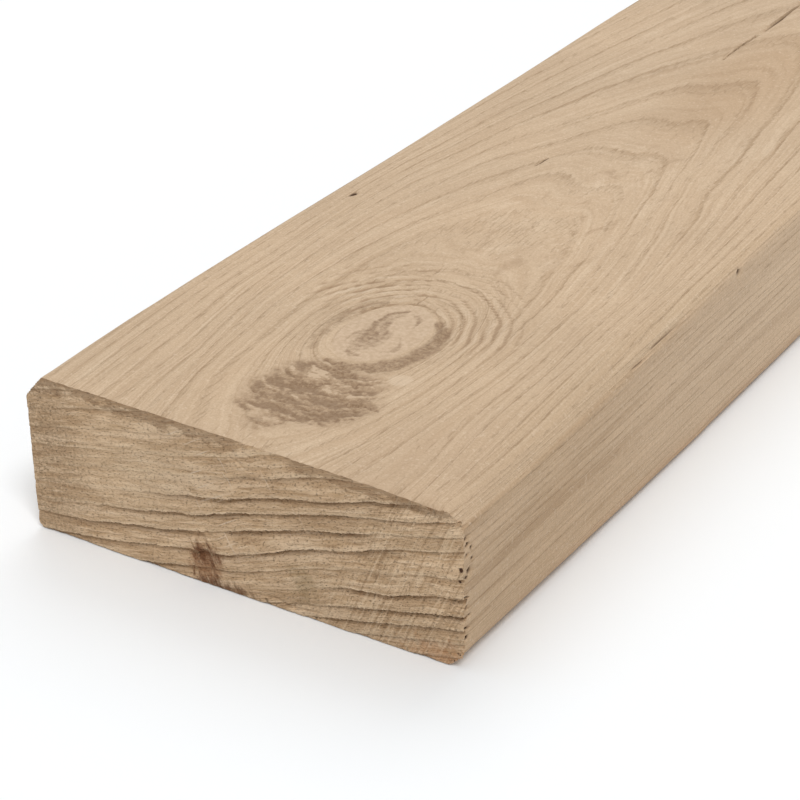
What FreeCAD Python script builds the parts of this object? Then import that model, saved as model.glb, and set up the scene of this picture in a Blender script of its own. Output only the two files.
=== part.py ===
"""An aged oak beam: one solid baulk, sawn to size, its four long arrises worn down by hand.

X is across the beam, Y runs along it and Z is up. The origin is the bottom centre of the beam's box,
so the beam lies on its widest face. All sizes are millimetres.
"""

import FreeCAD
import Part
import Sketcher
import os

SHEET = "Dimensions"
NODE = "oak_beam"

# The sizes that shape the baulk itself.
DIMENSIONS = {
    "beam_length": 1200,
    "beam_width": 200,
    "beam_height": 70,
    "front_skew": 6,  # how far the front cut runs back towards the left side
    "rear_skew": 3,  # how far the rear cut runs forward towards the left side
    "top_right_slant": 1.3,  # a worn corner's reach across the face, over its reach down the side
    "top_left_slant": 0.9,
    "bottom_right_slant": 1.0,
    "bottom_left_slant": 1.0,
    "front_wear_right": 5.3,  # how far the top is worn down at the front edge, at the right side
    "front_wear_left": 0.4,
    "front_wear_back_right": 95,  # how far back from the front edge that wear reaches
    "front_wear_back_left": 60,
    "cutter_spare": 0.2,  # how far a cutter reaches past the faces, as a share of the corner it takes
    "cutter_overrun": 5,  # how far a cutter starts before the front end, and stops past the rear one
}

# How far down the side each arris is worn, at stations evenly spaced from the front end to the rear.
WEAR = {
    "top_right": (11.4, 8.0, 2.4, 3.6, 6.2, 4.4, 7.6, 5.2, 9.0),
    "top_left": (11.6, 8.6, 10.2, 9.6, 8.4, 10.6, 9.0, 7.4, 9.8),
    "bottom_right": (7.8, 4.4, 4.0, 4.8, 3.4, 4.2, 5.0, 4.0, 6.4),
    "bottom_left": (3.2, 3.8, 4.6, 3.0, 4.2, 3.6, 4.8, 3.4, 4.6),
}

# Which side of the beam each arris is on, across and up.
CORNER = {
    "top_right": (1, 1),
    "top_left": (-1, 1),
    "bottom_right": (1, -1),
    "bottom_left": (-1, -1),
}


def fill_sheet(doc):
    """Puts every dimension in its own named cell."""
    sheet = doc.addObject("Spreadsheet::Sheet", SHEET)
    named = dict(DIMENSIONS)
    for arris, depths in WEAR.items():
        for station, depth in enumerate(depths):
            named[f"{arris}_wear_{station}"] = depth
    for row, (alias, value) in enumerate(named.items(), start=1):
        sheet.set(f"A{row}", alias)
        sheet.set(f"B{row}", str(value))
        sheet.setAlias(f"B{row}", alias)
    doc.recompute()
    return sheet


def origin_plane(body, role):
    """The body's own origin plane of that role."""
    return next(f for f in body.Origin.OriginFeatures if f.Role == role)


def bound_outline(sketch, corners):
    """Draws a closed outline whose corners are tied to the sheet.

    Each corner is a name and two rules, which give its signed distances from the sketch's origin.
    """
    points = [
        FreeCAD.Vector(sketch.evalExpression(across), sketch.evalExpression(along), 0)
        for _, across, along in corners
    ]
    for start, end in zip(points, points[1:] + points[:1]):
        sketch.addGeometry(Part.LineSegment(start, end), False)
    for line in range(len(corners)):
        following = (line + 1) % len(corners)
        sketch.addConstraint(Sketcher.Constraint("Coincident", line, 2, following, 1))
    for line, (name, across, along) in enumerate(corners):
        point = points[line]
        for axis, distance, rule in (("X", point.x, across), ("Y", point.y, along)):
            index = sketch.addConstraint(
                Sketcher.Constraint(f"Distance{axis}", -1, 1, line, 1, distance)
            )
            sketch.renameConstraint(index, f"{name}_{axis.lower()}")
            sketch.setExpression(f"Constraints.{name}_{axis.lower()}", rule)


def saw_baulk(doc, body):
    """The sawn baulk: its plan, with both ends a little out of square, padded up to its height."""
    half_width = f"{SHEET}.beam_width / 2"
    half_length = f"{SHEET}.beam_length / 2"
    plan = body.newObject("Sketcher::SketchObject", "BaulkPlan")
    plan.AttachmentSupport = [(origin_plane(body, "XY_Plane"), "")]
    plan.MapMode = "FlatFace"
    bound_outline(
        plan,
        [
            ("front_left", f"-{half_width}", f"{SHEET}.front_skew - {half_length}"),
            ("front_right", half_width, f"-{half_length}"),
            ("rear_right", half_width, half_length),
            ("rear_left", f"-{half_width}", f"{half_length} - {SHEET}.rear_skew"),
        ],
    )
    pad = body.newObject("PartDesign::Pad", "Baulk")
    pad.Profile = plan
    pad.setExpression("Length", f"{SHEET}.beam_height")
    doc.recompute()
    plan.Visibility = False
    return pad


def cutter_section(body, arris, station, stations):
    """One triangle of an arris cutter: its long side is the worn corner, carried past both faces."""
    right, up = CORNER[arris]
    down = f"{SHEET}.{arris}_wear_{station}"
    reach = f"{down} * {SHEET}.{arris}_slant"
    spare = f"{SHEET}.cutter_spare"
    face_x = f"{right} * {SHEET}.beam_width / 2"
    face_z = f"{SHEET}.beam_height" if up > 0 else "0"
    outer_x = f"{face_x} + {right} * {spare} * {reach}"
    outer_z = f"{face_z} + {up} * {spare} * {down}"
    inner_x = f"{face_x} - {right} * (1 + {spare}) * {reach}"
    inner_z = f"{face_z} - {up} * (1 + {spare}) * {down}"

    sketch = body.newObject("Sketcher::SketchObject", f"{arris}_section_{station}")
    sketch.AttachmentSupport = [(origin_plane(body, "XZ_Plane"), "")]
    sketch.MapMode = "FlatFace"
    run = f"({SHEET}.beam_length + 2 * {SHEET}.cutter_overrun)"
    # The XZ plane's own normal points towards -Y, so a station nearer the front has the larger offset.
    sketch.setExpression("AttachmentOffset.Base.z", f"{run} * (1 / 2 - {station} / {stations - 1})")
    bound_outline(
        sketch,
        [
            ("outer", outer_x, outer_z),
            ("face", inner_x, outer_z),
            ("side", outer_x, inner_z),
        ],
    )
    return sketch


def front_section(body, side):
    """One triangle of the front cutter, just outside that side: its long side is the worn top."""
    right = 1 if side == "right" else -1
    drop = f"{SHEET}.front_wear_{side}"
    back = f"{SHEET}.front_wear_back_{side}"
    beyond = f"{SHEET}.cutter_overrun"
    rise = f"{drop} * {beyond} / {back}"  # the worn top carried on to the cutter's ends
    front_y = f"-{SHEET}.beam_length / 2"

    sketch = body.newObject("Sketcher::SketchObject", f"front_wear_section_{side}")
    sketch.AttachmentSupport = [(origin_plane(body, "YZ_Plane"), "")]
    sketch.MapMode = "FlatFace"
    sketch.setExpression("AttachmentOffset.Base.z", f"{right} * ({SHEET}.beam_width / 2 + {beyond})")
    bound_outline(
        sketch,
        [
            ("top", f"{front_y} - {beyond}", f"{SHEET}.beam_height + {rise}"),
            ("under", f"{front_y} - {beyond}", f"{SHEET}.beam_height - {drop} - {rise}"),
            ("behind", f"{front_y} + {back} + {beyond}", f"{SHEET}.beam_height + {rise}"),
        ],
    )
    return sketch


def wear_front(doc, body):
    """Takes the top down towards the front edge, more on the right than on the left."""
    left, right = front_section(body, "left"), front_section(body, "right")
    doc.recompute()
    before = body.Shape.Volume
    cut = body.newObject("PartDesign::SubtractiveLoft", "Worn_front")
    cut.Profile = left
    cut.Sections = [right]
    cut.Ruled = True
    doc.recompute()
    if cut.Shape.Volume >= before:
        raise RuntimeError("the front cutter took nothing off")


def wear_arris(doc, body, arris):
    """Takes one long arris off along a line that wanders as handwork does."""
    stations = len(WEAR[arris])
    sections = [cutter_section(body, arris, station, stations) for station in range(stations)]
    doc.recompute()
    before = body.Shape.Volume
    cut = body.newObject("PartDesign::SubtractiveLoft", f"Worn_{arris}")
    cut.Profile = sections[0]
    cut.Sections = sections[1:]
    cut.Ruled = False
    doc.recompute()
    if cut.Shape.Volume >= before:
        raise RuntimeError(f"the {arris} cutter took nothing off")


def check(doc, body):
    """Stops if any object failed to build, or the beam isn't one valid solid."""
    failed = [o.Name for o in doc.Objects if "Invalid" in o.State or "Error" in o.State]
    if failed:
        raise RuntimeError(f"failed objects: {failed}")
    shape = body.Shape
    if shape.isNull() or not shape.isValid() or len(shape.Solids) != 1:
        raise RuntimeError("the beam is not one valid solid")


def main():
    doc = FreeCAD.newDocument("AgedOakBeam")
    fill_sheet(doc)
    body = doc.addObject("PartDesign::Body", "OakBeam")
    body.Label = NODE
    body.Placement = FreeCAD.Placement()
    saw_baulk(doc, body)
    wear_front(doc, body)
    for arris in WEAR:
        wear_arris(doc, body, arris)
    check(doc, body)
    os.makedirs("parts", exist_ok=True)
    body.Shape.exportStep(os.path.join("parts", f"{body.Label}.step"))
    box = body.Shape.optimalBoundingBox(False)
    print(f"{body.Label}: {box.XLength:.1f} x {box.YLength:.1f} x {box.ZLength:.1f} mm")
    print(f"volume {body.Shape.Volume / 1e6:.3f} litres, {len(body.Shape.Faces)} faces")


main()
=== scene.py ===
"""An aged oak beam: a long sawn baulk with worn arrises, a knot near one end and torn end grain.

Everything is in metres in the beam's own frame: X across, Y along, Z up. Lengths are written in
millimetres and places on a face are (across from the middle, along from the front end), so that
they can be read off the beam with a rule.
"""

import itertools
import math

import bmesh
import bpy
import numpy as np
from mathutils import Matrix, Vector
from mathutils.bvhtree import BVHTree


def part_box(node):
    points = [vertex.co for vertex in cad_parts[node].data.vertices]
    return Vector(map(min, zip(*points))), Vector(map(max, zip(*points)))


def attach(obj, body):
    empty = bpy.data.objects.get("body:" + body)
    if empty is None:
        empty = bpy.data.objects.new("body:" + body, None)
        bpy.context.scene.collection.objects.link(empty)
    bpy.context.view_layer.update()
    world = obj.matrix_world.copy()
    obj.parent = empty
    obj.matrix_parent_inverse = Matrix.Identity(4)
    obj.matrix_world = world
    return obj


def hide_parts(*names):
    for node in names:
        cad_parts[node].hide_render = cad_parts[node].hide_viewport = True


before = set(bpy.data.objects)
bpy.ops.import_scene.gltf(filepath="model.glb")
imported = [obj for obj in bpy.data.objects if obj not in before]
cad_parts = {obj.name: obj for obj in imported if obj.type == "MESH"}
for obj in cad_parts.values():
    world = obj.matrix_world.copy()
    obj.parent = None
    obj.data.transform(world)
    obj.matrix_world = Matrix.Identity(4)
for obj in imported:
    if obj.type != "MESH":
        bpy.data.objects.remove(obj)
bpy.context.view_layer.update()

MM = 0.001
NODE = "oak_beam"
LOW, HIGH = (np.array(corner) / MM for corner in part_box(NODE))
LENGTH = HIGH[1] - LOW[1]
HALF_WIDTH = (HIGH[0] - LOW[0]) / 2
TOP = HIGH[2]

# The block's cells, in millimetres across, along and up, before any are halved.
CELL = (4.0, 8.0, 4.0)
CLEARANCE = 0.12  # how far the finished surface stays under the sawn solid

# --- growth rings, drawn on the top face: ring number, then (across, along) of its line ---
TOP_RINGS = (
    (0, ((5, 132), (24, 118), (28, 98), (24, 76), (5, 66), (-13, 78), (-18, 98), (-13, 118))),
    (2, ((8, 146), (27, 137), (35, 115), (36, 95), (31, 64), (8, 48), (-15, 62), (-23, 92), (-21, 122),
         (-8, 141))),
    (4, ((8, 166), (27, 157), (37, 135), (42, 105), (41, 75), (35, 42), (22, 14), (9, -4), (-3, 15),
         (-14, 33), (-23, 57), (-28, 85), (-29, 112), (-25, 140), (-11, 160))),
    (5, ((24, 0), (33, 20), (41, 45), (46, 72), (47, 100), (45, 137), (41, 165), (35, 198), (27, 225),
         (18, 238), (5, 228), (-8, 232), (-20, 222), (-31, 198), (-37, 165), (-39, 125), (-38, 95),
         (-35, 67), (-33, 43), (-29, 28), (-19, 2))),
    (6, ((38, 0), (46, 30), (51, 60), (53, 100), (50, 137), (45, 180), (38, 220), (30, 255), (24, 274),
         (18, 281), (7, 270), (-2, 277), (-10, 282), (-20, 272), (-28, 245), (-38, 215), (-45, 180),
         (-48, 150), (-49, 120), (-46, 85), (-42, 50), (-36, 20), (-31, 0))),
    (7, ((46, 0), (55, 60), (58.5, 100), (57, 150), (52, 195), (45, 235), (36, 278), (28, 308), (19, 322),
         (5, 318), (-11, 318), (-26, 292), (-40, 258), (-50, 215), (-56, 160), (-55, 103), (-49, 63),
         (-44, 23), (-40, 0))),
    (8, ((52, 0), (58, 37), (62, 70), (64, 103), (63, 150), (58, 195), (50, 240), (40, 288), (31, 335),
         (24, 360), (18, 373), (8, 362), (-4, 365), (-18, 348), (-32, 315), (-47, 283), (-57, 240),
         (-62, 200), (-61, 130), (-59, 102), (-52, 57), (-46, 5))),
    (9, ((72, 0), (73.3, 20), (72.5, 103), (70, 145), (68, 180), (61, 224), (52, 262), (43, 304),
         (36, 350), (29, 398), (17, 434), (4, 420), (-14, 405), (-30, 365), (-46, 320), (-60, 265),
         (-68, 200), (-67, 140), (-62, 80), (-54, 0))),
    (10, ((79, 0), (79, 100), (76, 180), (66, 260), (54, 330), (44, 400), (30, 470), (17, 505), (-8, 488),
          (-30, 440), (-47, 384), (-60, 325), (-70, 262), (-74, 190), (-73, 110), (-66, 45), (-62, 0))),
    (12, ((87, 0), (87, 100), (85, 200), (77, 300), (66, 420), (48, 560), (17, 700), (-22, 620),
          (-50, 500), (-68, 380), (-79, 280), (-83, 160), (-80, 60), (-76, 0))),
    (14, ((94, 0), (94, 150), (90, 300), (80, 500), (60, 750), (17, 1000), (-30, 850), (-65, 600),
          (-84, 400), (-92, 220), (-91, 60))),
    (16, ((101, 0), (101, 200), (98, 400), (88, 700), (66, 1200), (-46, 1200), (-82, 800), (-97, 450),
          (-101, 120))),
    (18, ((108, 0), (108, 400), (104, 800), (96, 1200), (-88, 1200), (-106, 600))),
)

# --- the torn steps of the end grain, drawn on the front end: step number, then (across, up) of its lip ---
END_RINGS = (
    (-2, ((33, 1.7), (47, 4.6), (60, 7.7), (73, 11), (100, 17))),
    (-1, ((39, 8), (50, 11), (62, 14), (76, 17.4), (89, 20.3), (101, 23))),
    (0, ((0, 3), (20, 9), (36, 15), (50, 18.9), (65, 21), (77, 24.6), (89, 28), (100, 29.6))),
    (1, ((-50, 0), (-25, 5), (-10, 8), (0, 10.4), (10, 13.9), (22, 18), (50, 27), (75, 33), (100, 38))),
    (2, ((-90, 1), (-61, 5.3), (-50, 7.4), (-37, 10.3), (-24, 13), (-11, 14.6), (-1, 17.4), (9, 21),
         (20, 25.3), (32, 29.6), (45, 33), (53, 35.6), (62, 38.9), (73, 43), (100, 50))),
    (3, ((-100, 8), (-75, 10.2), (-61, 13), (-50, 15.6), (-38, 17.4), (-27, 20.6), (-17, 22.8), (-4, 27),
         (6, 30), (17, 33), (27, 36), (39, 39.6), (46, 41.4), (58, 44.6), (75, 49), (98, 55))),
    (4, ((-100, 14), (-75, 18), (-57, 21.7), (-47, 23), (-33, 26.7), (-21, 28.9), (-10, 32.4), (0, 35.6),
         (10, 38.6), (19, 40.5), (30, 43.9), (42, 47.4), (53, 50.3), (67, 53), (80, 55.6), (93, 59.5))),
    (5, ((-100, 22), (-70, 27.5), (-50, 31), (-38, 33), (-27, 35.3), (-15, 38.2), (-5, 40.3), (5, 43.4),
         (16, 46.7), (25, 48.9), (36, 51), (47, 53.9), (60, 58), (73, 61), (86, 64.5))),
    (6, ((-100, 30), (-60, 38), (-30, 44), (-1, 51), (13, 54.6), (22, 56.7), (32, 60.3), (60, 66))),
    (7, ((-100, 38), (-60, 46), (-30, 52), (0, 60), (20, 66))),
    (8, ((-100, 46), (-60, 55), (-30, 61), (0, 69))),
    (9, ((-98, 54), (-75, 60), (-57, 64), (-40, 68))),
)

# How far each step stands out along its line: (across, share of the full step).
END_STANDS = {
    -2: ((33, 0.3), (48, 0.7), (100, 0.6)),
    -1: ((39, 0.3), (58, 0.9), (100, 0.9)),
    0: ((0, 0.1), (38, 0.15), (52, 0.9), (100, 1.0)),
    1: ((-50, 0.7), (-24, 0.7), (-12, 0.3), (-6, 0.7), (4, 0.3), (30, 0.1), (100, 0.35)),
    2: ((-90, 0.5), (-24, 0.8), (-14, 0.4), (-8, 0.8), (6, 0.5), (14, 0.9), (60, 1.0), (76, 0.25),
        (100, 0.4)),
    3: ((-100, 0.3), (-75, 0.8), (-18, 1.15), (-15, 0.3), (-7, 0.4), (-3, 1.0), (54, 1.0), (62, 0.2),
        (100, 0.3)),
    4: ((-100, 0.1), (-70, 0.3), (-48, 0.9), (2, 1.1), (9, 0.5), (30, 0.9), (60, 0.4), (95, 0.6)),
    5: ((-100, 0.1), (-46, 0.1), (-34, 0.8), (-12, 1.2), (20, 1.0), (32, 0.6), (86, 0.9)),
    6: ((-100, 0.1), (-20, 0.1), (-6, 0.4), (30, 0.5), (60, 0.2)),
    7: ((-100, 0.15), (-50, 0.1), (20, 0.15)),
    8: ((-100, 0.3), (-60, 0.25), (-20, 0.1)),
    9: ((-100, 0.35), (-50, 0.3), (-38, 0.1)),
}

# Tears in the front end: half width, depth, then the line as (across, up).
END_TEARS = (
    (2.0, 0.9, ((-15, 0), (-14, 9), (-16, 18), (-14, 26), (-9, 35), (-7, 44))),
    (1.3, 0.9, ((-23, 0), (-22, 7), (-20, 12), (-16, 15), (-12, 13))),
    (1.0, 0.7, ((24, 0), (26, 6), (30, 11), (34, 13))),
    (0.8, 0.6, ((-4, 63), (0, 59), (7, 56), (14, 58), (20, 64))),
    (0.8, 0.4, ((2, 66), (6, 62), (12, 61), (16, 66))),
    (0.8, 0.5, ((-30, 41), (-27, 50), (-20, 58), (-10, 64))),
    (0.7, 0.4, ((-44, 36), (-38, 48), (-36, 60))),
    (0.8, 0.5, ((36, 20), (43, 29), (46, 39), (55, 45))),
    (0.9, 0.6, ((60, 24), (63, 33), (69, 41))),
    (1.0, 0.8, ((9, 3), (16, 4), (24, 2), (38, 4))),
)

# How far the top is worn down at the front edge: (across, drop). It dies out WORN_BACK from the edge.
FRONT_DROP = ((-100, 0.6), (-60, 1.1), (-30, 1.6), (0, 2.5), (30, 3.4), (60, 4.3), (78, 5.0), (90, 5.9),
              (97, 2.6), (100, 0))
WORN_BACK = 95

KNOT = (5.0, 101.5)
KNOT_HALF = (17.0, 26.5)  # half its width across and along
BURR = (7.0, 46.0)  # the dark rippled wood in front of the knot
BURR_HALF = (27.0, 30.0)

# --- dark bark-like marks round and inside the knot: half width, strength, then the line ---
KNOT_MARKS = (
    (4.8, 1.0, ((20, 120), (25, 113), (28, 102), (27, 90), (24, 80), (18, 73), (8, 70), (-2, 72))),
    (9.5, 0.30, ((23, 119), (28, 109), (30, 97), (27, 85), (20, 75), (10, 69))),
    (4.6, 0.52, ((-9, 126), (-14, 118), (-17, 108), (-18, 96), (-16.5, 86), (-13, 78))),
    (1.7, 0.9, ((4, 122), (-1, 117), (-3, 109), (-1, 103), (4, 99), (9, 98))),
    (1.2, 0.6, ((7, 120), (11, 118), (13, 112))),
    (2.6, 0.75, ((2, 92), (5, 89), (8, 91))),
    (1.3, 0.7, ((-1, 84), (3, 80), (7, 79))),
    (1.3, 0.5, ((14, 86), (17, 89), (17, 95), (14, 99))),
    (1.0, 0.5, ((-4, 101), (-5.5, 95), (-4.5, 89))),
    (2.6, 0.9, ((-5, 55), (0, 51), (5, 51), (8, 54))),
    (2.4, 0.9, ((17, 48), (24, 46), (30, 48), (37, 46))),
    (2.6, 0.8, ((-2, 64), (6, 66), (14, 63), (20, 57))),
    (1.8, 0.7, ((-12, 38), (-4, 36), (2, 33), (12, 34))),
    (1.6, 0.6, ((-6, 20), (2, 18), (10, 21))),
)

# --- drying checks on the top face: width and depth at the middle, then the line ---
TOP_CHECKS = (
    (1.0, 3.0, ((-10.5, 455), (-11.6, 478), (-10.2, 502), (-11.0, 545), (-12.4, 600), (-10.0, 655))),
    (0.8, 1.1, ((-26.3, 283), (-25.6, 296))),
    (0.7, 0.6, ((-7.4, 172), (-5.6, 158), (-5.2, 148))),
    (0.7, 0.7, ((2.2, 127), (3.4, 142))),
    (0.6, 0.9, ((99.6, 104), (99.0, 130), (98.2, 160), (98.8, 196))),
    (0.9, 2.0, ((38, 742), (40, 800), (37.5, 862))),
    (0.8, 1.4, ((-52, 905), (-54, 960), (-51, 1010))),
)
# Pits: across, along and up, then how far each reaches and how deep it is.
PITS = (
    (99.4, 231.0, 64.5, 2.6, 2.2), (89.5, 24.0, 69.0, 1.2, 0.9), (88.5, 39.0, 69.0, 1.0, 0.8),
    (-82.0, 217.0, 70.0, 2.2, 1.2), (99.5, 0.8, 60.0, 1.3, 1.3), (99.8, 2.0, 54.0, 1.5, 1.5),
    (99.8, 3.5, 51.0, 1.4, 1.5), (99.8, 5.5, 48.5, 1.3, 1.4), (99.8, 2.5, 47.0, 1.2, 1.2),
    (99.8, 6.5, 44.0, 1.2, 1.2), (98.4, 0.5, 42.0, 1.5, 1.5), (99.8, 4.5, 40.0, 1.9, 2.0),
    (99.8, 2.0, 38.0, 1.3, 1.4), (97.5, 0.5, 36.5, 1.1, 1.2), (99.8, 1.5, 30.0, 1.2, 1.2),
    (99.5, 1.5, 26.0, 1.5, 1.5), (99.8, 2.5, 22.0, 1.1, 1.1), (99.8, 2.0, 17.0, 1.2, 1.2),
    (99.6, 2.5, 13.0, 1.6, 1.6), (98.4, 2.0, 9.5, 1.5, 1.6), (97.0, 1.0, 7.0, 1.2, 1.2),
    (12.0, 0.5, 1.5, 2.3, 2.0), (22.5, 0.5, 1.4, 1.8, 1.7), (-19.0, 0.5, 1.5, 2.6, 2.2),
    (34.0, 0.5, 1.0, 2.2, 1.5),
)


# ------------------------------------------------------------------ patterns worked out per vertex


def smooth_step(low, high, value):
    """0 below low, 1 above high, and an easy curve between."""
    t = np.clip((value - low) / (high - low), 0, 1)
    return t * t * (3 - 2 * t)


HASHED = np.random.default_rng(7).random(4096)


def value_noise(places, seed):
    """Smooth noise from -1 to 1 at places that are counted in cells of its lattice."""
    cell = np.floor(places).astype(np.int64)
    part = places - cell
    part = part * part * (3 - 2 * part)
    total = np.zeros(len(places))
    for corner in itertools.product((0, 1), repeat=3):
        ix, iy, iz = ((cell[:, k] + corner[k]) for k in range(3))
        key = (ix * 73856093) ^ (iy * 19349663) ^ (iz * 83492791) ^ (seed * 2654435761)
        weight = np.prod(np.where(corner, part, 1 - part), axis=1)
        total += weight * HASHED[key & 4095]
    return total * 2 - 1


def rough(places, cell, octaves, seed):
    """Fractal noise from about -1 to 1. cell is the size of its largest lumps, for each axis."""
    total, gain = np.zeros(len(places)), 1.0
    for octave in range(octaves):
        total += gain * value_noise(places / np.array(cell) * 2**octave, seed + octave)
        gain *= 0.55
    return total / 1.6


def ring_field(lines, places, squeeze):
    """Ring numbers at these places, by a thin plate bent through the drawn lines.

    squeeze shortens the second direction while the plate is bent, because lines run long that way.
    """
    knots = np.array([point for _, points in lines for point in points], float) * (1, squeeze)
    places = places * (1, squeeze)
    values = np.array([ring for ring, points in lines for _ in points], float)

    def bend(a, b):
        apart = np.hypot(a[:, None, 0] - b[None, :, 0], (a[:, None, 1] - b[None, :, 1]))
        return apart**2 * np.log(apart + 1e-6)

    plane = np.column_stack([np.ones(len(knots)), knots])
    size = len(knots)
    system = np.zeros((size + 3, size + 3))
    system[:size, :size] = bend(knots, knots) + np.eye(size) * 2.0
    system[:size, size:] = plane
    system[size:, :size] = plane.T
    weights = np.linalg.solve(system, np.append(values, np.zeros(3)))
    found = []
    for part in np.array_split(places, max(1, len(places) // 8000)):
        flat = np.column_stack([np.ones(len(part)), part])
        found.append(bend(part, knots) @ weights[:size] + flat @ weights[size:])
    return np.concatenate(found)


def from_line(points, across, along):
    """How far each place lies from a bent line, and how far along it, from 0 to 1."""
    points = np.array(points, float)
    steps = np.diff(points, axis=0)
    runs = np.hypot(steps[:, 0], steps[:, 1])
    best = np.full(len(across), 1e9)
    where = np.zeros(len(across))
    done = 0.0
    for start, step, run in zip(points, steps, runs):
        t = np.clip(((across - start[0]) * step[0] + (along - start[1]) * step[1]) / run**2, 0, 1)
        apart = np.hypot(across - start[0] - t * step[0], along - start[1] - t * step[1])
        nearer = apart < best
        best = np.where(nearer, apart, best)
        where = np.where(nearer, (done + t * run) / runs.sum(), where)
        done += run
    return best, where


# ------------------------------------------------------------------------------------ the block


def sawn_block():
    """The beam's box as a closed block of even cells."""
    block = bmesh.new()
    bmesh.ops.create_cube(block, size=1)
    bmesh.ops.scale(block, vec=Vector(HIGH - LOW), verts=block.verts)
    bmesh.ops.translate(block, vec=Vector((LOW + HIGH) / 2), verts=block.verts)
    for axis in range(3):
        along_axis = [e for e in block.edges if abs((e.verts[0].co - e.verts[1].co)[axis]) > 1e-6]
        cuts = round((HIGH[axis] - LOW[axis]) / CELL[axis]) - 1
        bmesh.ops.subdivide_edges(block, edges=along_axis, cuts=cuts, use_grid_fill=True)
    return block


def halve_cells(block, wanted, only=None):
    """Splits faces in four, or across one axis only, where wanted(across, along, up) holds in the middle."""
    faces = []
    for face in block.faces:
        middle = face.calc_center_median()
        if wanted(middle.x, middle.y - LOW[1], middle.z):
            faces.append(face)
    edges = {edge for face in faces for edge in face.edges}
    if only is not None:
        edges = {edge for edge in edges if abs((edge.verts[0].co - edge.verts[1].co)[only]) > 1e-6}
    bmesh.ops.subdivide_edges(block, edges=list(edges), cuts=1, use_grid_fill=True)


def near_check(across, along):
    """True within a few millimetres of a check."""
    for _, _, points in TOP_CHECKS:
        if points[0][1] - 4 < along < points[-1][1] + 4:
            apart, _ = from_line(points, np.array([across]), np.array([along]))
            if apart[0] < 2.6:
                return True
    return False


def near_pit(across, along, up):
    """True within reach of a pit."""
    return any(
        math.dist((across, along, up), place) < reach + 2.5 for *place, reach, _ in PITS
    )


def near_knot(across, along):
    """True on the knot, its rim and the burr in front of it."""
    return min(
        math.hypot((across - middle[0]) / half[0], (along - middle[1]) / half[1])
        for middle, half in ((KNOT, KNOT_HALF), (BURR, BURR_HALF))
    ) < 1.12


def graded_block():
    """The block with smaller cells where the wood has more to show."""
    top_face = TOP - 0.1
    block = sawn_block()
    halve_cells(block, lambda x, y, z: (z > top_face and y < 500) or y < 200 or y > LENGTH - 24)
    halve_cells(
        block,
        lambda x, y, z: y < 6
        or (z > top_face and y < 200 and abs(x - 6) < 48)
        or near_pit(x, y, z)
        or (z > top_face and near_check(x, y)),
    )
    halve_cells(
        block,
        lambda x, y, z: near_pit(x, y, z)
        or (z > top_face and (near_check(x, y) or near_knot(x, y))),
    )
    halve_cells(block, lambda x, y, z: y < 0.1 and not near_pit(x, y, z), only=2)
    bmesh.ops.recalc_face_normals(block, faces=block.faces)
    return block


# ------------------------------------------------------------------------------ shaping the block


def positions(mesh):
    """The mesh's vertices, in millimetres."""
    flat = np.empty(len(mesh.vertices) * 3)
    mesh.vertices.foreach_get("co", flat)
    return flat.reshape(-1, 3)


def put_back(mesh, places):
    """Moves the mesh's vertices to these places."""
    mesh.vertices.foreach_set("co", places.ravel())
    mesh.update()


def normals(mesh):
    """The outward direction at each vertex."""
    flat = np.empty(len(mesh.vertices) * 3)
    mesh.vertices.foreach_get("normal", flat)
    return flat.reshape(-1, 3)


def solid_surface():
    """The sawn solid as a tree that can be asked for its nearest point, in millimetres."""
    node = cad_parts[NODE].data
    corners = [v.co / MM for v in node.vertices]
    return BVHTree.FromPolygons(corners, [p.vertices[:] for p in node.polygons])


def end_line(solid, direction):
    """The end cut as a straight line in plan: its place at the middle and its slope across."""
    reach, up = HALF_WIDTH * 0.8, TOP / 2
    start = LOW[1] - 10 if direction > 0 else HIGH[1] + 10
    ahead = Vector((0, direction, 0))
    found = [solid.ray_cast(Vector((side * reach, start, up)), ahead)[0].y for side in (-1, 1)]
    return (found[0] + found[1]) / 2, (found[1] - found[0]) / (2 * reach)


def fit_to_solid(places):
    """Skews the block's ends and lays its corners on the worn arrises of the sawn solid."""
    solid = solid_surface()
    front, front_slope = end_line(solid, 1)
    rear, rear_slope = end_line(solid, -1)
    share = (places[:, 1] - LOW[1]) / LENGTH
    starts = front + front_slope * places[:, 0]
    stops = rear + rear_slope * places[:, 0]
    places[:, 1] = starts + share * (stops - starts)
    for i, place in enumerate(places):
        if abs(place[0]) > HALF_WIDTH - 20 and min(place[2], TOP - place[2]) < 20:
            places[i] = solid.find_nearest(Vector(place))[0]
    return places


def soften_arrises(mesh, rounds):
    """Rolls the long arrises over, and leaves the faces and the end cuts as they are."""
    places = positions(mesh)
    edges = np.empty(len(mesh.edges) * 2, np.int64)
    mesh.edges.foreach_get("vertices", edges)
    a, b = edges.reshape(-1, 2).T
    across = np.abs(places[:, 0])
    from_face = np.minimum(places[:, 2], TOP - places[:, 2])
    corner = smooth_step(HALF_WIDTH - 17, HALF_WIDTH - 9, across) * smooth_step(17, 9, from_face)
    count = np.bincount(a, minlength=len(places)) + np.bincount(b, minlength=len(places))
    for _ in range(rounds):
        total = np.zeros_like(places)
        np.add.at(total, a, places[b])
        np.add.at(total, b, places[a])
        wanted = total / count[:, None]
        wanted[:, 1] = places[:, 1]
        places += (wanted - places) * (0.5 * corner)[:, None]
    put_back(mesh, places)


def front_drop(across):
    """How far the front top edge lies under the top face."""
    at, drop = np.array(FRONT_DROP, float).T
    return np.interp(across, at, drop)


def wear_front(places):
    """Lowers the top towards the front edge, as the solid is, and squeezes the end grain under it."""
    near = np.clip(1 - (places[:, 1] - LOW[1]) / WORN_BACK, 0, 1) ** 1.6
    places[:, 2] -= front_drop(places[:, 0]) * near * smooth_step(38, TOP, places[:, 2])
    return places


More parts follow.
